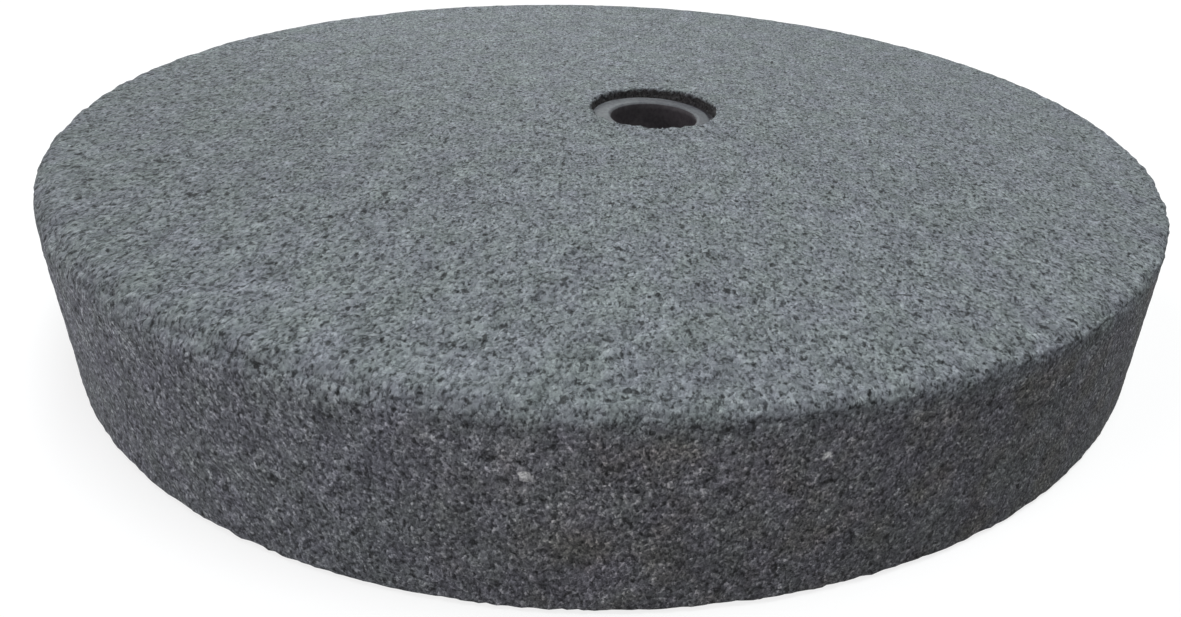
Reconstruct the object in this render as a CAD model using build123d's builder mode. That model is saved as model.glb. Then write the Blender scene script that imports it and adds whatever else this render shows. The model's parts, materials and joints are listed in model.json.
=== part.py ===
from build123d import *
import os

# A straight bench grinding wheel of 7 x 1 inch for a 5/8 inch spindle, lying flat on one side face.
# Two pieces: the moulded abrasive disc, and the bush cast into its central hole.
# Millimetres. +Z runs up the wheel's axis, and the origin is on that axis at the lower side face.

# Driving dimensions of the abrasive disc
wheel_diameter = 177.8
wheel_thickness = 25.4
arris_radius = 2.0  # the worn round edge between the side faces and the grinding face
hole_lip = 0.5  # the crumbled edge at each mouth of the hole that holds the bush

# Driving dimensions of the arbor bush
arbor_diameter = 15.875
bush_wall = 3.3  # from the bore out to the wall of the disc's own hole
bush_setback = 2.0  # from each side face of the disc down to the bush's end face
bush_rim = 0.25  # the outer corner of each end, where the casting shrank from the hole's wall
bore_lead_in = 0.35  # the bevel that lets the spindle enter the bore

# Sizes worked out from them
wheel_radius = wheel_diameter / 2
arbor_radius = arbor_diameter / 2
hole_radius = arbor_radius + bush_wall
bush_length = wheel_thickness - 2 * bush_setback

# The abrasive disc: one half of its cross-section, turned round the axis
with BuildPart() as abrasive_wheel:
    with BuildSketch(Plane.XZ) as wheel_section:
        with Locations(((hole_radius + wheel_radius) / 2, wheel_thickness / 2)):
            Rectangle(wheel_radius - hole_radius, wheel_thickness)
        chamfer(wheel_section.vertices().group_by(Axis.X)[0], hole_lip)
        fillet(wheel_section.vertices().group_by(Axis.X)[-1], arris_radius)
    revolve(axis=Axis.Z)
abrasive_wheel.part.label = "abrasive_wheel"

# The arbor bush: cast against the hole's wall, so its outside is the hole's own diameter
with BuildPart() as arbor_bush:
    with BuildSketch(Plane.XZ) as bush_section:
        with Locations(((arbor_radius + hole_radius) / 2, wheel_thickness / 2)):
            Rectangle(bush_wall, bush_length)
        chamfer(bush_section.vertices().group_by(Axis.X)[0], bore_lead_in)
        chamfer(bush_section.vertices().group_by(Axis.X)[-1], bush_rim)
    revolve(axis=Axis.Z)
arbor_bush.part.label = "arbor_bush"

os.makedirs("parts", exist_ok=True)
export_step(abrasive_wheel.part, "parts/abrasive_wheel.step")
export_step(arbor_bush.part, "parts/arbor_bush.step")
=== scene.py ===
import json
import math

import bpy
import numpy as np
from mathutils import Matrix, Vector


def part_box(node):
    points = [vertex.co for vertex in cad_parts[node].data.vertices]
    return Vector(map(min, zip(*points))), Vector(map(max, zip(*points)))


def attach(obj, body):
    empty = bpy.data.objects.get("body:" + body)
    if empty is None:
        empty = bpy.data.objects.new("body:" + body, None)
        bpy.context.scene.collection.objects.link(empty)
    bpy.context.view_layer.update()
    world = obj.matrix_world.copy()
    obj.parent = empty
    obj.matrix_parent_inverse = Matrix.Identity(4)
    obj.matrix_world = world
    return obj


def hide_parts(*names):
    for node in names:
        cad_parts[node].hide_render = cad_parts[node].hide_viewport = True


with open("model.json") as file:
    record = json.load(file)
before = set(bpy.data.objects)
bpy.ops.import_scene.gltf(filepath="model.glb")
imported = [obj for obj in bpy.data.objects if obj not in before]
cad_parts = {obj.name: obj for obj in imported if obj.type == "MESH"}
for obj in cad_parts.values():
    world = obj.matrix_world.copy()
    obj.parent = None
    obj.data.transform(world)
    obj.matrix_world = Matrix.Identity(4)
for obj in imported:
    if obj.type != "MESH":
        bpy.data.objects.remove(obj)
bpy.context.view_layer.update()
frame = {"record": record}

# A worn straight grinding wheel lying on its side face. Metres; the axis is Z and the wheel stands on z = 0.
MM = 0.001

# Sizes of the model, from the frame
wheel_low, wheel_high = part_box("abrasive_wheel")
bush_low, bush_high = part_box("arbor_bush")
WHEEL_RADIUS = (wheel_high.x - wheel_low.x) / 2
THICKNESS = wheel_high.z
HOLE_RADIUS = (bush_high.x - bush_low.x) / 2
ARBOR_RADIUS = next(m for m in frame["record"]["mounts"] if m["kind"] == "bore")["dims"]["r_mm"] * MM

# Sizes that the frame doesn't give
LIP = 0.5 * MM  # bevel at each mouth of the hole
LEAD_IN = 0.35 * MM  # bevel at each end of the bore
BUSH_RIM = 0.25 * MM  # round at each outer edge of the bush
CLEAN_CENTRE, CLEAN_RADIUS = Vector((-0.5, 0.5, 0)) * MM, 10.7 * MM  # the sound part of the bush's upper end

# The photograph's camera: its picture in pixels, its place in front of the wheel, and its turns in degrees
PHOTO_WIDTH, PHOTO_HEIGHT = 1181, 617
FOCAL_PX = 837.8
AXIS_X_PX, AXIS_Y_PX = 764.0, 212.0  # where the optical axis meets the picture
CAMERA_PLACE = Vector((0.0, -149.445, 73.734)) * MM
PAN, TILT, ROLL = 8.473, 24.584, 5.671
SENSOR = 36.0  # width in Blender's millimetres
CLIP_START, CLIP_END = 0.01, 20

# The lamps, all aimed at the origin: name, place, size, power and colour
LAMPS = (
    ("overhead", (0.15, -0.12, 0.91), 0.3, 5.5, (0.95, 0.995, 1.0)),
    ("left_back", (-0.3, 0.95, 0.56), 0.45, 6.9, (0.92, 1.0, 0.99)),
    ("left_front", (-1.1, -0.66, 0.34), 0.35, 6.6, (1.0, 0.96, 1.0)),
)
WHITE = (1, 1, 1, 1)
ROOM_LIGHT, ROOM_COLOUR = 0.198, (0.97, 0.95, 1, 1)
FLOOR_HALF = 4  # half the floor's width
FLOOR_DULL = (0.13, 0.125, 0.13, 1)  # what the floor throws back onto the wheel
FLOOR_PALE = (0.24, 0.24, 0.24, 1)  # what carries the shadow that meets the eye
GLOW_NEAR, GLOW_FAR, GLOW_LEAST = 0.3, 0.8, 0.8  # the floor's own light grows from the least to 1 between these


# Points and triangles

def hashed(ix, iy, iz, seed):
    """A fixed pseudo-random number from -1 to 1 for each lattice point."""
    h = (ix * 374761393 + iy * 668265263 + iz * 1442695041 + seed * 974634777) & 0xFFFFFFFF
    h = ((h ^ (h >> 13)) * 1274126177) & 0xFFFFFFFF
    h = ((h ^ (h >> 16)) * 2246822519) & 0xFFFFFFFF
    return (h ^ (h >> 15)) / 0x7FFFFFFF - 1.0


def noise(points, wavelength, seed):
    """Smooth noise from -1 to 1 at each point, with lumps about a wavelength apart, in millimetres."""
    p = points / (wavelength * MM)
    cell = np.floor(p).astype(np.int64)
    f = p - cell
    f = f * f * f * (f * (f * 6 - 15) + 10)
    total = np.zeros(len(points))
    for corner in range(8):
        step = np.array([corner & 1, corner >> 1 & 1, corner >> 2 & 1])
        weight = np.prod(np.where(step, f, 1 - f), axis=1)
        total += weight * hashed(*(cell + step).T, seed)
    return total


def layered(points, layers, seed=0, start=0):
    """The start plus layers of noise. Each is (height, wavelength, seed), its own seed added to the given one."""
    return sum((height * noise(points, wavelength, seed + own) for height, wavelength, own in layers), start)


def over(values, least):
    """By how much each value exceeds the least, or 0."""
    return np.clip(values - least, 0, None)


def graded(length, first, last):
    """Positions from 0 to length, whose steps change evenly from first to last."""
    steps = np.linspace(first, last, max(1, round(2 * length / (first + last))))
    return np.concatenate([[0.0], np.cumsum(steps)]) * (length / steps.sum())


def line(start, end, first, last):
    """Points of a straight run of the profile, its end left out."""
    start, end = np.array(start), np.array(end)
    length = np.hypot(*(end - start))
    return [tuple(start + (end - start) * s / length) for s in graded(length, first, last)[:-1]]


def arc(centre, radius, start, end, count):
    """Points of a quarter round of the profile, its end left out. The angles are in degrees."""
    return [
        (centre[0] + radius * math.cos(a), centre[1] + radius * math.sin(a))
        for a in np.linspace(math.radians(start), math.radians(end), count + 1)[:-1]
    ]


BACK = math.pi / 2  # the azimuth furthest from the camera, where each ring begins


def turned(profile, counts, jitter, crowding, rng):
    """Points, normals and triangles of a closed profile turned round the axis.

    Each ring has its own count of points, and each of its points may stray by a share of the spacing. The points
    of a ring crowd together towards the front: their spacing there is 1 - crowding of the mean.
    """
    profile = np.array(profile)
    along = np.roll(profile, -1, 0) - np.roll(profile, 1, 0)
    along /= np.linalg.norm(along, axis=1)[:, None]
    spacing = np.minimum(
        np.linalg.norm(np.roll(profile, -1, 0) - profile, axis=1),
        np.linalg.norm(profile - np.roll(profile, 1, 0), axis=1),
    )
    points, normals, starts, turns = [], [], [], []
    for i, (radius, z) in enumerate(profile):
        count = counts[i]
        turn = (np.arange(count) + 0.5 * (i % 2)) / count
        turn = turn + jitter[i] * rng.uniform(-1, 1, count) / count
        turn = turn + crowding[i] * np.sin(2 * math.pi * turn) / (2 * math.pi)
        slide = jitter[i] * rng.uniform(-1, 1, count) * spacing[i]
        r, h = radius + slide * along[i, 0], z + slide * along[i, 1]
        a = 2 * math.pi * turn + BACK
        starts.append(sum(counts[:i]))
        turns.append(turn)
        points.append(np.stack([r * np.cos(a), r * np.sin(a), h], 1))
        nr, nz = -along[i, 1], along[i, 0]
        normals.append(np.stack([nr * np.cos(a), nr * np.sin(a), np.full(count, nz)], 1))
    triangles = []
    for i in range(len(profile)):
        j = (i + 1) % len(profile)
        triangles += zipped(starts[i], turns[i], starts[j], turns[j])
    return np.concatenate(points), np.concatenate(normals), triangles


def zipped(start_a, a, start_b, b):
    """Triangles between two neighbouring rings, each given by its first point and its points' turns."""
    na, nb = len(a), len(b)
    i = j = 0
    made = []
    while i < na or j < nb:
        next_a = a[i + 1] if i + 1 < na else a[0] + 1 if i < na else math.inf
        next_b = b[j + 1] if j + 1 < nb else b[0] + 1 if j < nb else math.inf
        if next_a <= next_b:
            made.append((start_a + i % na, start_b + j % nb, start_a + (i + 1) % na))
            i += 1
        else:
            made.append((start_a + i % na, start_b + j % nb, start_b + (j + 1) % nb))
            j += 1
    return made


def linked(name, data):
    """A new object in the scene that holds the data."""
    made = bpy.data.objects.new(name, data)
    bpy.context.scene.collection.objects.link(made)
    return made


def build(name, points, triangles, material):
    """A smooth-shaded mesh object at the origin."""
    mesh = bpy.data.meshes.new(name)
    mesh.from_pydata(points.tolist(), [], triangles)
    mesh.validate()
    mesh.polygons.foreach_set("use_smooth", [True] * len(mesh.polygons))
    mesh.materials.append(material)
    mesh.update()
    return linked(name, mesh)


# Shader nodes

def node(tree, kind, values=None, **settings):
    """Adds a shader node with its settings, and fills or links its inputs."""
    made = tree.nodes.new(kind)
    for name, value in settings.items():
        setattr(made, name, value)
    for key, value in (values or {}).items():
        if isinstance(value, bpy.types.NodeSocket):
            tree.links.new(value, made.inputs[key])
        else:
            made.inputs[key].default_value = value
    return made


def bare_tree(owner):
    """The emptied node tree of a material or a world."""
    owner.use_nodes = True
    owner.node_tree.nodes.clear()
    return owner.node_tree


def ramp(tree, value, *stops):
    """A colour ramp through (position, grey or colour) stops."""
    made = node(tree, "ShaderNodeValToRGB", {0: value})
    elements = made.color_ramp.elements
    while len(elements) < len(stops):
        elements.new(0.5)
    for element, (position, colour) in zip(elements, stops):
        element.position = position
        element.color = (colour,) * 3 + (1,) if isinstance(colour, (int, float)) else (*colour, 1)
    return made.outputs["Color"]


def maths(tree, operation, a, b):
    return node(tree, "ShaderNodeMath", {0: a, 1: b}, operation=operation).outputs[0]


def rest_of(tree, share):
    """1 less the share."""
    return maths(tree, "SUBTRACT", 1.0, share)


def vector(tree, operation, a, b, output=0):
    key = "Scale" if operation == "SCALE" else 1
    return node(tree, "ShaderNodeVectorMath", {0: a, key: b}, operation=operation).outputs[output]


def height_of(tree, here):
    return node(tree, "ShaderNodeSeparateXYZ", {0: here}).outputs["Z"]


def spread(tree, value, start, end, least=0.0, most=1.0):
    """The least where the value is at the start and the most where it is at the end, and even between them."""
    values = {"Value": value, "From Min": start, "From Max": end, "To Min": least, "To Max": most}
    return node(tree, "ShaderNodeMapRange", values).outputs[0]


def mixed(tree, blend, factor, a, b):
    """One colour blended over another."""
    made = node(tree, "ShaderNodeMix", {"Factor": factor}, data_type="RGBA", blend_type=blend)
    for socket, value in ((made.inputs[6], a), (made.inputs[7], b)):
        if isinstance(value, bpy.types.NodeSocket):
            tree.links.new(value, socket)
        else:
            socket.default_value = (*value, 1)
    return made.outputs[2]


def times(tree, colour, other, share=1.0):
    """The colour multiplied by another one, as far as the share says."""
    return mixed(tree, "MULTIPLY", share, colour, other)


def noise_node(tree, here, wavelength, detail=2.0, rough=0.5, output="Fac"):
    values = {"Vector": here, "Scale": 1 / wavelength, "Detail": detail, "Roughness": rough}
    return node(tree, "ShaderNodeTexNoise", values).outputs[output]


NOISE_MEAN = 0.5


def strayed(tree, here, wavelength, detail, reach):
    """The coordinates pushed about by noise."""
    stray = noise_node(tree, here, wavelength, detail, output="Color")
    stray = vector(tree, "ADD", stray, (-NOISE_MEAN,) * 3)
    return vector(tree, "ADD", here, vector(tree, "SCALE", stray, reach))


def inside(tree, here, full, none, centre=(0, 0, 0)):
    """1 nearer than one radius to an upright line, falling to 0 at another. The line is the axis, as a rule."""
    flat = vector(tree, "MULTIPLY", here, (1, 1, 0))
    return spread(tree, vector(tree, "DISTANCE", flat, centre, "Value"), none, full)


def new_material(name):
    """A material with a bare tree: its tree, its Principled shader and the object's coordinates in millimetres."""
    material = bpy.data.materials.new(name)
    tree = bare_tree(material)
    shader = node(tree, "ShaderNodeBsdfPrincipled")
    node(tree, "ShaderNodeOutputMaterial", {"Surface": shader.outputs[0]})
    here = node(tree, "ShaderNodeTexCoord").outputs["Object"]
    return material, tree, shader, vector(tree, "SCALE", here, 1 / MM)


SPECULAR = 0.25


def fill_shader(tree, shader, colour, roughness, relief, strength, distance):
    """Gives the shader its colour, its roughness and a bump of so many millimetres."""
    tree.links.new(colour, shader.inputs["Base Color"])
    tree.links.new(roughness, shader.inputs["Roughness"])
    shader.inputs["Specular IOR Level"].default_value = SPECULAR
    bump = node(tree, "ShaderNodeBump", {"Strength": strength, "Distance": distance * MM, "Height": relief})
    tree.links.new(bump.outputs[0], shader.inputs["Normal"])


# Looks of the abrasive. Lengths are in millimetres, a noise is (wavelength, detail, roughness), and what has a
# colour multiplies the one under it, unless it says otherwise

GRAIN_STRETCH = (1.15, 0.82, 0.97)  # how much finer the grains are along each axis
GRAIN_STRAY = 0.5, 1.0, 0.35  # their bent outlines: wavelength, detail and reach
COARSE_GRAIN, FINE_GRAIN = 0.46, 0.29
COARSE_SHARE, FINE_SHARE = 0.5, 0.5  # of each in a grain's place on the two ramps below
MOULDED = (  # the side faces' own colours: even and pale
    (0.12, (0.065, 0.07, 0.073)), (0.45, (0.166, 0.18, 0.187)),
    (0.8, (0.245, 0.264, 0.271)), (0.96, (0.32, 0.34, 0.345)),
)
DRESSED_AND_HIGHLIT = (  # the grinding face's colours: pale broken grains, made brighter still by painted highlights
    (0.12, (0.06, 0.063, 0.068)), (0.45, (0.15, 0.16, 0.17)),
    (0.75, (0.25, 0.265, 0.276)), (0.96, (0.5, 0.52, 0.53)),
)
GROUND_NONE_IN, GROUND_FULL_IN = 3.0, 1.5  # the grinding face's look sets in between these, inside the rim
GROUND_NONE_DOWN, GROUND_FULL_DOWN = 1.0, 4.0  # and between these, under the upper side face
HIGHLIGHT_CURL_SIZE, HIGHLIGHT_CURLS = 0.95, ((0.0, 1.4), (0.07, 0.9))  # painted highlights: fine bright strokes on the grinding face
PORE_NOISE, PORES = (0.6, 2.0, 0.55), ((0.3, 0.15), (0.46, 1.0))
LAYERS = (  # noises, each with its ramp
    (1.1, 1.5, 0.5, (0.29, 0.22), (0.375, 1.01)),  # holes of a grain or two
    (5.0, 3.0, 0.65, (0.3, 0.84), (0.7, 1.16)),  # clouds
    (1.7, 1.0, 0.5, (0.33, 0.86), (0.67, 1.1)),  # flecks
    (6.5, 3.0, 0.75, (0.36, (0.99, 0.972, 1.045)), (0.64, (0.98, 1.013, 0.99))),  # violet and green tints
)
# painted shade on the upper side face at the left: its centre, where it is full, where it ends, and its colour
LEFT_SHADE_CENTRE, LEFT_SHADE_FULL, LEFT_SHADE_NONE, LEFT_SHADE = (-78.0, -25.0, 0.0), 25.0, 75.0, (0.87, 0.87, 0.865)
FOOT_SHADE = (0.15, 0.88), (0.8, 1.1)  # painted shade and light, darker at the foot and lighter at the top, over the height of the grinding face, which counts as 1
WARM_FROM, WARM_TO, WARM = -25.0, -5.0, (1.033, 1.0, 0.995)  # it turns warmer between these x
STAIN_SIZE, STAIN_FROM, STAIN_TO, STAIN_LEAST, STAIN = 6.0, 0.47, 0.7, 0.1, (1.02, 0.97, 0.87)
PALE_MARKS = ((-96.8, 17.5, 1.2), (-78.45, 19.0, 0.95))  # azimuth in degrees, height and size
MARK_NOISE, MARK_STRAY, MARK_NONE, MARK_FULL = 0.7, 1.6, 1.45, 1.1  # all in sizes of the mark
PALE_MARK = (0.88, 0.9, 0.88)  # its own colour
RAGGED = 1.0, 2.0, 1.7  # the ragged edge of the painted shade on the hole's wall: wavelength, detail and reach
WALL_SHADE_FULL_OUT, WALL_SHADE_NONE_OUT = 0.45, 0.8  # the painted shade ends between these, outside the hole
WALL_SHADE_NONE_DOWN, WALL_SHADE_FULL_DOWN = 0.25, 0.85  # and begins between these, under the upper side face
# the colour of the painted shade on the hole's wall
WALL_SHADE = (0.2, 0.175, 0.168)
GRAIN_LOWEST, GRAIN_RANGE = 0.4, 0.9  # heights of the coarse grains
COARSE_RELIEF, PORE_RELIEF, FINE_RELIEF = 0.55, 0.9, 0.3
GRAIN_BUMP = 0.66, 0.32  # strength and distance
GRAIN_ROUGHNESS = (0.0, 0.95), (1.0, 0.78)

RADIUS_MM, TOP_MM, HOLE_MM, ARBOR_MM = WHEEL_RADIUS / MM, THICKNESS / MM, HOLE_RADIUS / MM, ARBOR_RADIUS / MM


def abrasive_material():
    """Fused grains in a grey bond: pale and dark ones, open pores between them, and faint clouds of other hues."""
    material, tree, shader, place = new_material("abrasive")
    here = vector(tree, "MULTIPLY", place, GRAIN_STRETCH)
    bent = strayed(tree, here, *GRAIN_STRAY)
    coarse = node(tree, "ShaderNodeTexVoronoi", {"Vector": bent, "Scale": 1 / COARSE_GRAIN})
    fine = node(tree, "ShaderNodeTexVoronoi", {"Vector": bent, "Scale": 1 / FINE_GRAIN})
    coarse_cell = node(tree, "ShaderNodeSeparateColor", {0: coarse.outputs["Color"]}).outputs[0]
    fine_cell = node(tree, "ShaderNodeSeparateColor", {0: fine.outputs["Color"]}).outputs[1]
    coarse_part = maths(tree, "MULTIPLY", coarse_cell, COARSE_SHARE)
    cell = maths(tree, "ADD", coarse_part, maths(tree, "MULTIPLY", fine_cell, FINE_SHARE))
    # 1 on the grinding face and 0 on the side faces, whose look reaches over the arris
    x, _, z = node(tree, "ShaderNodeSeparateXYZ", {0: place}).outputs
    below = spread(tree, z, TOP_MM - GROUND_NONE_DOWN, TOP_MM - GROUND_FULL_DOWN)
    ground = rest_of(tree, inside(tree, place, RADIUS_MM - GROUND_NONE_IN, RADIUS_MM - GROUND_FULL_IN))
    ground = maths(tree, "MULTIPLY", ground, below)
    # the grinding face's grains, partly pale in their own colour and partly painted highlight, under painted
    # highlight strokes
    highlight_curl = maths(tree, "SUBTRACT", noise_node(tree, here, HIGHLIGHT_CURL_SIZE), NOISE_MEAN)
    highlight_curl = maths(tree, "ABSOLUTE", highlight_curl, 0.0)
    dressed_and_highlit = times(tree, ramp(tree, cell, *DRESSED_AND_HIGHLIT), ramp(tree, highlight_curl, *HIGHLIGHT_CURLS))
    colour = mixed(tree, "MIX", ground, ramp(tree, cell, *MOULDED), dressed_and_highlit)
    pores = noise_node(tree, here, *PORE_NOISE)
    colour = times(tree, colour, ramp(tree, pores, *PORES))
    for wavelength, detail, rough, *stops in LAYERS:
        colour = times(tree, colour, ramp(tree, noise_node(tree, here, wavelength, detail, rough), *stops))
    # painted shade: a broad darker patch on the upper side face, at the left
    left_shade = inside(tree, place, LEFT_SHADE_FULL, LEFT_SHADE_NONE, LEFT_SHADE_CENTRE)
    colour = times(tree, colour, LEFT_SHADE, maths(tree, "MULTIPLY", left_shade, rest_of(tree, ground)))
    # painted shade and light: the grinding face is darker towards the foot and lighter towards the top
    level = maths(tree, "MULTIPLY", z, MM / THICKNESS)
    colour = times(tree, colour, ramp(tree, level, *FOOT_SHADE), ground)
    # it is warmer and stained brown from the front to the right
    front = maths(tree, "MULTIPLY", spread(tree, x, WARM_FROM, WARM_TO), ground)
    colour = times(tree, colour, WARM, front)
    stain = spread(tree, noise_node(tree, here, STAIN_SIZE), STAIN_FROM, STAIN_TO, STAIN_LEAST)
    colour = times(tree, colour, STAIN, maths(tree, "MULTIPLY", stain, front))
    for azimuth, height, size in PALE_MARKS:
        colour = pale_mark(tree, place, colour, azimuth, height, size)
    # painted shade: the wall of the hole over the bush is darkened, up to a ragged line under the mouth
    ragged = strayed(tree, place, *RAGGED)
    wall_shade = inside(tree, ragged, HOLE_MM + WALL_SHADE_FULL_OUT, HOLE_MM + WALL_SHADE_NONE_OUT)
    deep = spread(tree, height_of(tree, ragged), TOP_MM - WALL_SHADE_NONE_DOWN, TOP_MM - WALL_SHADE_FULL_DOWN)
    colour = times(tree, colour, WALL_SHADE, maths(tree, "MULTIPLY", wall_shade, deep))
    # the relief: domed coarse grains of uneven height, fine grains over them, and the pores
    tall = maths(tree, "ADD", maths(tree, "MULTIPLY", coarse_cell, GRAIN_RANGE), GRAIN_LOWEST)
    dome = maths(tree, "MULTIPLY", rest_of(tree, coarse.outputs["Distance"]), tall)
    small_dome = maths(tree, "MULTIPLY", rest_of(tree, fine.outputs["Distance"]), FINE_RELIEF)
    relief = maths(tree, "MULTIPLY", dome, COARSE_RELIEF)
    relief = maths(tree, "ADD", relief, maths(tree, "MULTIPLY", pores, PORE_RELIEF))
    relief = maths(tree, "ADD", relief, small_dome)
    fill_shader(tree, shader, colour, ramp(tree, fine_cell, *GRAIN_ROUGHNESS), relief, *GRAIN_BUMP)
    return material


def pale_mark(tree, here, colour, azimuth, height, size):
    """A bruise of crushed pale grains on the grinding face, with a ragged edge. Degrees and millimetres."""
    turn = math.radians(azimuth)
    centre = (RADIUS_MM * math.cos(turn), RADIUS_MM * math.sin(turn), height)
    away = vector(tree, "DISTANCE", here, centre, "Value")
    stray = maths(tree, "MULTIPLY", noise_node(tree, here, MARK_NOISE * size), MARK_STRAY * size)
    near = spread(tree, maths(tree, "ADD", away, stray), MARK_NONE * size, MARK_FULL * size)
    return mixed(tree, "MIX", near, colour, PALE_MARK)


# Looks of the bush, given as the abrasive's are

CAST_NOISE, CAST = (3.0, 4.0, 0.6), ((0.3, (0.145, 0.152, 0.16)), (0.7, (0.21, 0.22, 0.226)))
CAST_ROUGHNESS = (0.3, 0.62), (0.7, 0.75)
DUST_NOISE, DUST = (0.8, 3.0, 0.6), ((0.32, (0.66, 0.64, 0.68)), (0.58, 1.0))
DUST_BUMP = 0.5, 0.06
CLEAN_FULL_IN, CLEAN_NONE_OUT = 0.1, 0.15  # the edge of the sound part
SUNKEN_SHADE = (0.3, 0.27, 0.3)  # painted shade in the sunken crescent, outside the sound part
END_SHADE_WAY = (1, -1, 0)  # to the right and the front, where the painted shade on the ends is deeper
# painted shade on the ends: where it starts and where it is full along that way, and its colour
END_SHADE_NONE, END_SHADE_FULL, END_SHADE = -14.0, -2.0, (0.54, 0.535, 0.56)
BORE_SHADE_FULL_OUT, BORE_SHADE_NONE_OUT = 0.02, 0.1  # the edge of the painted shade in the bore
# painted shade in the bore: its colours at the mouth's height and at the deep one
MOUTH_Z, DEEP_Z, MOUTH_SHADE, DEEP_SHADE = 23.0, 15.5, (0.27, 0.232, 0.241), (0.7, 0.6, 0.625)


def bush_material():
    """Smooth grey casting, faintly clouded, with small casting pits, and painted shade in the bore, on the ends
    and in a sunken crescent.
    """
    material, tree, shader, here = new_material("bush")
    cloud = noise_node(tree, here, *CAST_NOISE)
    dust = noise_node(tree, here, *DUST_NOISE)
    colour = times(tree, ramp(tree, cloud, *CAST), ramp(tree, dust, *DUST))
    # the casting has shrunk and crumbled away from the hole's wall at one side, and painted shade darkens that
    # sunken part
    radius, centre = CLEAN_RADIUS / MM, CLEAN_CENTRE / MM
    clean = inside(tree, here, radius - CLEAN_FULL_IN, radius + CLEAN_NONE_OUT, centre)
    colour = times(tree, colour, SUNKEN_SHADE, rest_of(tree, clean))
    # painted shade on the ends, deeper to the right and the front, and none in the bore
    bore = inside(tree, here, ARBOR_MM + BORE_SHADE_FULL_OUT, ARBOR_MM + BORE_SHADE_NONE_OUT)
    end_shade = spread(tree, vector(tree, "DOT_PRODUCT", here, END_SHADE_WAY, "Value"), END_SHADE_NONE, END_SHADE_FULL)
    colour = times(tree, colour, END_SHADE, maths(tree, "MULTIPLY", end_shade, rest_of(tree, bore)))
    # painted shade in the bore, darkest at its mouth
    down = spread(tree, height_of(tree, here), MOUTH_Z, DEEP_Z)
    colour = times(tree, colour, mixed(tree, "MIX", down, MOUTH_SHADE, DEEP_SHADE), bore)
    fill_shader(tree, shader, colour, ramp(tree, cloud, *CAST_ROUGHNESS), dust, *DUST_BUMP)
    return material


# The disc's mesh, fine on the faces in view and coarser underneath. Steps from ring to ring of its profile

MOUTH_STEP, LIP_STEP, FIRST_STEP, FACE_STEP, MIDDLE_STEP = 0.3 * MM, 0.2 * MM, 0.25 * MM, 0.95 * MM, 0.8 * MM
NEAR_STEP, ARRIS_STEP, FOOT_STEP, UNDER_STEP, UNDER_LIP_STEP = 0.42 * MM, 0.22 * MM, 0.6 * MM, 2.2 * MM, 0.35 * MM
ARRIS_STEPS, FOOT_ARRIS_STEPS = 9, 5
ROUND = 1.2 * MM  # radius of the arris in the section, before its wear


def wheel_profile():
    """The disc's cross-section as (radius, height) rings, with each ring's count of points, stray and crowding."""
    hole, side, top, lip = HOLE_RADIUS, WHEEL_RADIUS, THICKNESS, THICKNESS - LIP
    inner, outer = HOLE_RADIUS + LIP, WHEEL_RADIUS - ROUND
    bush_top, bush_foot = bush_high.z, bush_low.z
    # where the steps change: on the upper side face, down the grinding face and on the lower side face
    middle, near, shoulder = inner + 9 * MM, outer - 26 * MM, outer - 3 * MM
    edge, brow = THICKNESS - ROUND, THICKNESS - ROUND - 3 * MM
    under_outer, under_inner = outer - 8 * MM, inner + 8 * MM
    # each leg: its points, then from its first ring to its last the spacing of a ring's points in millimetres,
    # the share of it that they may stray, and from first to last again their crowding
    legs = [
        (line((hole, bush_top), (hole, lip), MOUTH_STEP, MOUTH_STEP), (0.3, 0.3), 0.2, (0, 0)),
        (line((hole, lip), (inner, top), LIP_STEP, LIP_STEP), (0.3, 0.3), 0.2, (0, 0)),
        (line((inner, top), (middle, top), FIRST_STEP, FACE_STEP), (0.3, 1.0), 0.25, (0, 0.3)),
        (line((middle, top), (near, top), FACE_STEP, MIDDLE_STEP), (1.0, 1.2), 0.25, (0.3, 0.6)),
        (line((near, top), (shoulder, top), MIDDLE_STEP, NEAR_STEP), (1.2, 1.05), 0.25, (0.6, 0.64)),
        (line((shoulder, top), (outer, top), NEAR_STEP, ARRIS_STEP), (1.05, 0.9), 0.25, (0.64, 0.66)),
        (arc((outer, edge), ROUND, 90, 0, ARRIS_STEPS), (0.9, 0.9), 0.2, (0.66, 0.66)),
        (line((side, edge), (side, brow), ARRIS_STEP, NEAR_STEP), (0.9, 1.1), 0.25, (0.66, 0.64)),
        (line((side, brow), (side, ROUND), NEAR_STEP, FOOT_STEP), (1.1, 1.4), 0.25, (0.64, 0.62)),
        (arc((outer, ROUND), ROUND, 0, -90, FOOT_ARRIS_STEPS), (1.4, 1.4), 0.2, (0.62, 0.6)),
        (line((outer, 0), (under_outer, 0), FOOT_STEP, UNDER_STEP), (1.4, 2.2), 0.25, (0.6, 0.3)),
        (line((under_outer, 0), (under_inner, 0), UNDER_STEP, UNDER_STEP), (2.2, 2.2), 0.25, (0.3, 0)),
        (line((under_inner, 0), (inner, 0), UNDER_STEP, FOOT_STEP), (2.2, 0.6), 0.25, (0, 0)),
        (line((inner, 0), (hole, LIP), UNDER_LIP_STEP, UNDER_LIP_STEP), (0.6, 0.6), 0.2, (0, 0)),
        (line((hole, LIP), (hole, bush_foot), FOOT_STEP, FOOT_STEP), (0.6, 0.6), 0.2, (0, 0)),
        (line((hole, bush_foot), (hole, bush_top), UNDER_STEP, UNDER_STEP), (0.6, 0.3), 0.0, (0, 0)),
    ]
    profile, counts, jitter, crowding = [], [], [], []
    for points, spacing, stray, crowd in legs:
        spacings, squeezes = np.linspace(*spacing, len(points)), np.linspace(*crowd, len(points))
        for point, step, squeeze in zip(points, spacings, squeezes):
            profile.append(point)
            counts.append(round(2 * math.pi * point[0] / (step * MM)))
            jitter.append(stray)
            crowding.append(squeeze)
    return profile, counts, jitter, crowding


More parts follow.
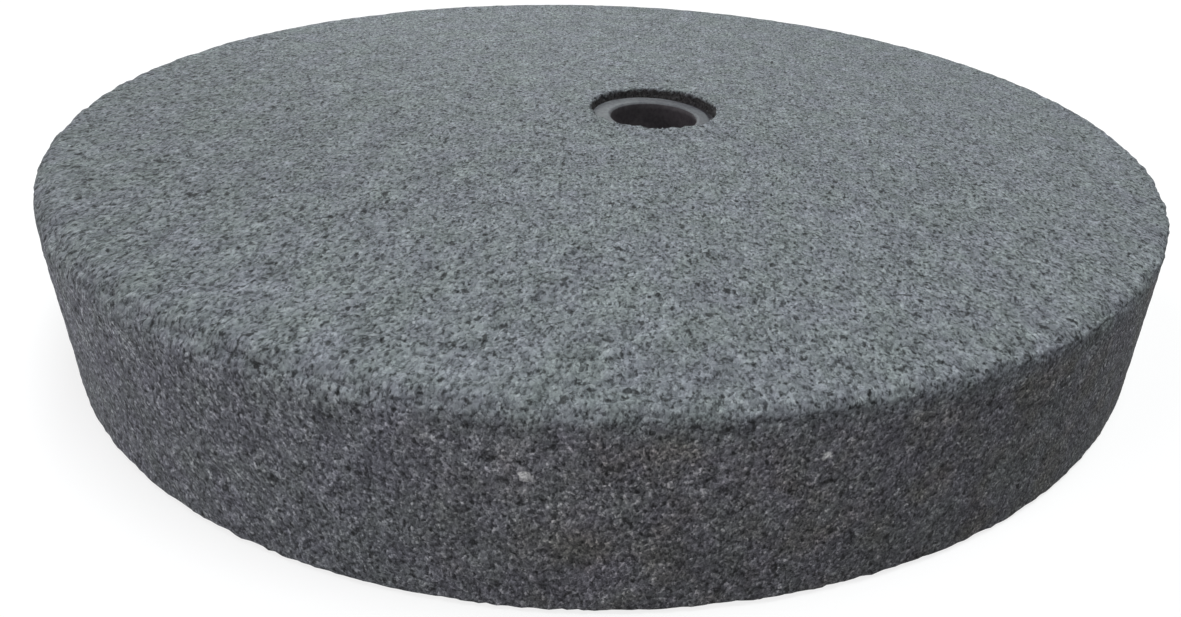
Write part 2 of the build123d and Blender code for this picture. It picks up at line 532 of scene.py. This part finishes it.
def rounded(points, corner_radius, top, radius, outward):
    """Draws the points near an edge back onto a round of the given radius, which varies from point to point.

    outward is 1 at the outside of a face and -1 at the mouth of the hole.
    """
    rho = np.hypot(points[:, 0], points[:, 1])
    up = 1 if top > THICKNESS / 2 else -1
    across = (rho - corner_radius) * outward + radius
    height = (points[:, 2] - top) * up + radius
    near = (across > 0) & (height > 0)
    length = np.maximum(np.hypot(across, height), 1e-9)
    scale = np.where(near, radius / length, 1.0)
    across, height = np.where(near, across * scale, across), np.where(near, height * scale, height)
    new_rho = corner_radius + (across - radius) * outward
    points[:, :2] *= (new_rho / rho)[:, None]
    points[:, 2] = top + (height - radius) * up


# Wear and relief of the disc in millimetres, or as shares from 0 to 1. Its layers of noise are given as
# layered() takes them

WHEEL_DRAWS = 7  # seed of the points' stray
RING_LEVEL = 0.3  # height of the ring on which noises along an edge are read, as a share of its radius
CHIPPED_MEAN, CHIPPED_SWING, CHIPPED_LEAST = 0.1, 1.4, 0.15  # the share of chipping, greatest at the front
EDGES = (  # for each side face: its height, the seed of its edges, their further wear at the left and their bites
    (THICKNESS, 11, 2.7, 1.7),
    (0.0, 31, 0, 0.4),
)
LEFT_AZIMUTH, LEFT_SPREAD = -126, 30  # the place of that further wear, in degrees
ARRIS_WEAR, ARRIS_LEAST, ARRIS_MOST, ARRIS_LAYERS = 0.9, 0.5, 4.5, ((0.25, 34, 0), (0.25, 11, 1))
BITE_SIZE, BITE_LEAST = 4, 0.25
NIBBLE_SIZE, NIBBLES = 1.1, 0.3
MOUTH_WEAR, MOUTH_LEAST, MOUTH_MOST, MOUTH_LAYERS = 0.6, 0.15, 1.6, ((0.35, 2.0, 4), (0.8, 0.85, 5))
BROAD_LAYERS = (0.035, 24, 1), (0.03, 6, 2), (0.06, 2.2, 3)  # swells and lumps
FINE_LAYERS = (0.08, 1.15, 4), (0.12, 0.75, 6)  # grains
FINE_MEAN, FINE_SWING = 0.65, 0.35  # the share of fine relief, greatest at the front
GROUND_FINE, SIDE_NORMAL = 0.7, 0.3  # its share on the grinding face, where normals rise less than this
PIT_SIZE, PIT_LEAST, PITS = 1.5, 0.4, 0.6
FOOT_ZONE, FOOT_PITS = 6, 0.15  # the zone at the foot where the pits fade, and their least share
CHIP_SIZE, CHIP_LEAST, CHIPS = 2.8, 0.05, 0.7
CHIPLET_SIZE, CHIPLET_LEAST, CHIPLETS = 1.3, 0.1, 0.6  # smaller chips, as a share of the depth of the others
CHIP_REACH = 1.6  # from the upper arris
SINK = 0.15  # how far the whole skin lies under the true size


def wheel_mesh():
    """The worn disc: rounded and bitten arrises, a crumbled mouth and uneven faces."""
    points, normals, triangles = turned(*wheel_profile(), np.random.default_rng(WHEEL_DRAWS))
    azimuth = np.arctan2(points[:, 1], points[:, 0])
    ring = np.stack([np.cos(azimuth), np.sin(azimuth), np.full(len(points), RING_LEVEL)], 1) * WHEEL_RADIUS
    # how near each point is to the upper arris of the section, from 0 to 1
    arris = np.hypot(WHEEL_RADIUS - np.hypot(points[:, 0], points[:, 1]), THICKNESS - points[:, 2])
    arris = np.exp(-((arris / (CHIP_REACH * MM)) ** 2))
    # the chipping of the edges is heavy at the front and slight from the sides to the back
    chipped = np.clip(CHIPPED_MEAN - CHIPPED_SWING * np.sin(azimuth), CHIPPED_LEAST, 1)
    left = np.exp(-((np.degrees(azimuth) - LEFT_AZIMUTH) / LEFT_SPREAD) ** 2)
    # wear of the arrises, widest at the left, with bites of a grain or a few, and crumbling of the mouths
    for top, seed, left_wear, bite in EDGES:
        worn = layered(ring, ARRIS_LAYERS, seed, ARRIS_WEAR)
        worn += left_wear * left
        bites = over(noise(ring, BITE_SIZE, seed + 2), BITE_LEAST)
        worn += bite * chipped * bites + NIBBLES * chipped * noise(points, NIBBLE_SIZE, seed + 3)
        rounded(points, WHEEL_RADIUS, top, np.clip(worn, ARRIS_LEAST, ARRIS_MOST) * MM, 1)
        crumbled = layered(points, MOUTH_LAYERS, seed, MOUTH_WEAR)
        rounded(points, HOLE_RADIUS, top, np.clip(crumbled, MOUTH_LEAST, MOUTH_MOST) * MM, -1)
    rough = layered(points, BROAD_LAYERS)
    # the fine relief fades towards the back, where the mesh is coarser, and is less on the grinding face
    near = FINE_MEAN - FINE_SWING * np.sin(azimuth)
    near *= np.where(normals[:, 2] < SIDE_NORMAL, GROUND_FINE, 1.0)
    rough += near * layered(points, FINE_LAYERS)
    # the photograph's outline is even along the foot
    fading = np.clip(points[:, 2] / (FOOT_ZONE * MM), FOOT_PITS, 1)
    pits = over(noise(points, PIT_SIZE, seed=5), PIT_LEAST) * fading
    chips = over(noise(points, CHIP_SIZE, seed=7), CHIP_LEAST)
    chips = chips + CHIPLETS * over(noise(points, CHIPLET_SIZE, seed=8), CHIPLET_LEAST)
    depth = (rough - SINK - PITS * near * pits - CHIPS * arris * chipped * chips) * MM
    # the wall behind the bush stays true
    hidden = (points[:, 2] > bush_low.z) & (points[:, 2] < bush_high.z)
    hidden &= np.hypot(points[:, 0], points[:, 1]) < HOLE_RADIUS + LIP
    depth[hidden] = 0
    points = points + normals * depth[:, None]
    points[:, 2] = np.clip(points[:, 2], 0, None)
    return points, triangles


# The bush's mesh, with its lengths in millimetres from CRESCENT on

WALL_STEP, END_STEP, BEVEL_STEP, BORE_STEP, RIM_STEPS = 2 * MM, 0.3 * MM, 0.15 * MM, 1 * MM, 4
BUSH_DRAWS = 3  # seed for turned(), which draws numbers though no point of the bush strays
RING_POINTS = 200
CRESCENT, CRESCENT_SLOPE = 0.6, 0.4  # depth of the sunken crescent, and width of the slope into it
CRESCENT_SIZE, CRESCENT_UNEVEN = 0.9, 0.5
END_LAYERS, END_SINK = ((0.03, 5, 41), (0.012, 1.2, 42)), 0.03
ASKEW = 0.3  # how much higher the upper end stands at its left edge than in the middle


def bush_mesh():
    """The casting: an even ring with bevelled corners, whose end faces wave a little."""
    low, high = bush_low.z, bush_high.z
    rim, mouth = HOLE_RADIUS - BUSH_RIM, ARBOR_RADIUS + LEAD_IN
    legs = [
        line((HOLE_RADIUS, low + BUSH_RIM), (HOLE_RADIUS, high - BUSH_RIM), WALL_STEP, WALL_STEP),
        arc((rim, high - BUSH_RIM), BUSH_RIM, 0, 90, RIM_STEPS),
        line((rim, high), (mouth, high), END_STEP, END_STEP),
        line((mouth, high), (ARBOR_RADIUS, high - LEAD_IN), BEVEL_STEP, BEVEL_STEP),
        line((ARBOR_RADIUS, high - LEAD_IN), (ARBOR_RADIUS, low + LEAD_IN), BORE_STEP, BORE_STEP),
        line((ARBOR_RADIUS, low + LEAD_IN), (mouth, low), BEVEL_STEP, BEVEL_STEP),
        line((mouth, low), (rim, low), END_STEP, END_STEP),
        arc((rim, low + BUSH_RIM), BUSH_RIM, -90, 0, RIM_STEPS),
    ]
    profile = [point for leg in legs for point in leg][::-1]
    even = [0.0] * len(profile)
    rng = np.random.default_rng(BUSH_DRAWS)
    points, _, triangles = turned(profile, [RING_POINTS] * len(profile), even, even, rng)
    wave = layered(points, END_LAYERS) - END_SINK
    # the crescent, on the upper end alone
    off = np.hypot(points[:, 0] - CLEAN_CENTRE.x, points[:, 1] - CLEAN_CENTRE.y) - CLEAN_RADIUS
    sunken = CRESCENT * np.clip(off / (CRESCENT_SLOPE * MM), 0, 1) * (points[:, 2] > THICKNESS / 2)
    wave -= sunken * (1 + CRESCENT_UNEVEN * noise(points, CRESCENT_SIZE, seed=43))
    at_end = (points[:, 2] > high - BUSH_RIM / 2) | (points[:, 2] < low + BUSH_RIM / 2)
    points[:, 2] += np.where(at_end, np.sign(points[:, 2] - THICKNESS / 2) * wave * MM, 0)
    # the upper end was cast a little askew, and stands higher at the left
    points[:, 2] -= np.where(points[:, 2] > high - LEAD_IN, ASKEW * points[:, 0] / HOLE_RADIUS * MM, 0)
    return points, triangles


abrasive, bush = abrasive_material(), bush_material()
wheel_piece = build("worn_wheel", *wheel_mesh(), abrasive)
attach(wheel_piece, "root")
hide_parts("abrasive_wheel")
bush_piece = build("cast_bush", *bush_mesh(), bush)
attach(bush_piece, "root")
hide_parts("arbor_bush")


# The floor, the light and the camera

def seen(tree):
    """1 for what meets the eye, straight or by way of gloss or glass, and 0 for what only lights the wheel."""
    path = node(tree, "ShaderNodeLightPath").outputs
    by_way = maths(tree, "MAXIMUM", path["Is Glossy Ray"], path["Is Transmission Ray"])
    return maths(tree, "MAXIMUM", path["Is Camera Ray"], by_way)


def floor():
    """A pale floor: white to the eye with a soft shadow, and dark grey in what it throws back."""
    material = bpy.data.materials.new("floor")
    tree = bare_tree(material)
    dull = node(tree, "ShaderNodeBsdfDiffuse", {"Color": FLOOR_DULL})
    pale = node(tree, "ShaderNodeBsdfDiffuse", {"Color": FLOOR_PALE})
    here = node(tree, "ShaderNodeTexCoord").outputs["Object"]
    away = vector(tree, "LENGTH", here, (0, 0, 0), "Value")
    bright = spread(tree, away, GLOW_NEAR, GLOW_FAR, GLOW_LEAST)
    glow = node(tree, "ShaderNodeEmission", {"Color": WHITE, "Strength": bright})
    white = node(tree, "ShaderNodeAddShader", {0: pale.outputs[0], 1: glow.outputs[0]})
    both = node(tree, "ShaderNodeMixShader", {0: seen(tree), 1: dull.outputs[0], 2: white.outputs[0]})
    node(tree, "ShaderNodeOutputMaterial", {"Surface": both.outputs[0]})
    mesh = bpy.data.meshes.new("floor")
    corners = [(x * FLOOR_HALF, y * FLOOR_HALF, 0) for x, y in ((-1, -1), (1, -1), (1, 1), (-1, 1))]
    mesh.from_pydata(corners, [], [(0, 1, 2, 3)])
    mesh.materials.append(material)
    made = linked("floor", mesh)


def softbox(name, place, size, power, colour):
    """A square area lamp at a place, aimed at the origin."""
    data = bpy.data.lights.new(name, "AREA")
    data.shape, data.size, data.energy, data.color = "SQUARE", size, power, colour
    made = linked(name, data)
    made.location = place
    made.rotation_euler = (-Vector(place)).to_track_quat("-Z", "Y").to_euler()


def surroundings():
    """An even dim world that looks white."""
    world = bpy.data.worlds.new("room")
    bpy.context.scene.world = world
    tree = bare_tree(world)
    dim = node(tree, "ShaderNodeBackground", {"Color": ROOM_COLOUR, "Strength": ROOM_LIGHT})
    white = node(tree, "ShaderNodeBackground", {"Color": WHITE, "Strength": 1.0})
    both = node(tree, "ShaderNodeMixShader", {0: seen(tree), 1: dim.outputs[0], 2: white.outputs[0]})
    node(tree, "ShaderNodeOutputWorld", {"Surface": both.outputs[0]})


def camera():
    """The photograph's camera."""
    pan, tilt, roll = math.radians(PAN), math.radians(TILT), math.radians(ROLL)
    ahead = Vector((math.sin(pan) * math.cos(tilt), math.cos(pan) * math.cos(tilt), -math.sin(tilt)))
    right = ahead.cross(Vector((0, 0, 1))).normalized()
    up = right.cross(ahead)
    right, up = right * math.cos(roll) + up * math.sin(roll), up * math.cos(roll) - right * math.sin(roll)
    data = bpy.data.cameras.new("camera")
    data.sensor_width = SENSOR
    data.lens = FOCAL_PX / PHOTO_WIDTH * SENSOR
    data.shift_x = (PHOTO_WIDTH / 2 - AXIS_X_PX) / PHOTO_WIDTH
    data.shift_y = (AXIS_Y_PX - PHOTO_HEIGHT / 2) / PHOTO_WIDTH
    data.clip_start, data.clip_end = CLIP_START, CLIP_END
    made = linked("camera", data)
    made.matrix_world = Matrix.Translation(CAMERA_PLACE) @ Matrix((right, up, -ahead)).transposed().to_4x4()
    bpy.context.scene.camera = made


floor()
surroundings()
for lamp in LAMPS:
    softbox(*lamp)
bpy.context.scene.view_settings.view_transform = "Standard"
camera()
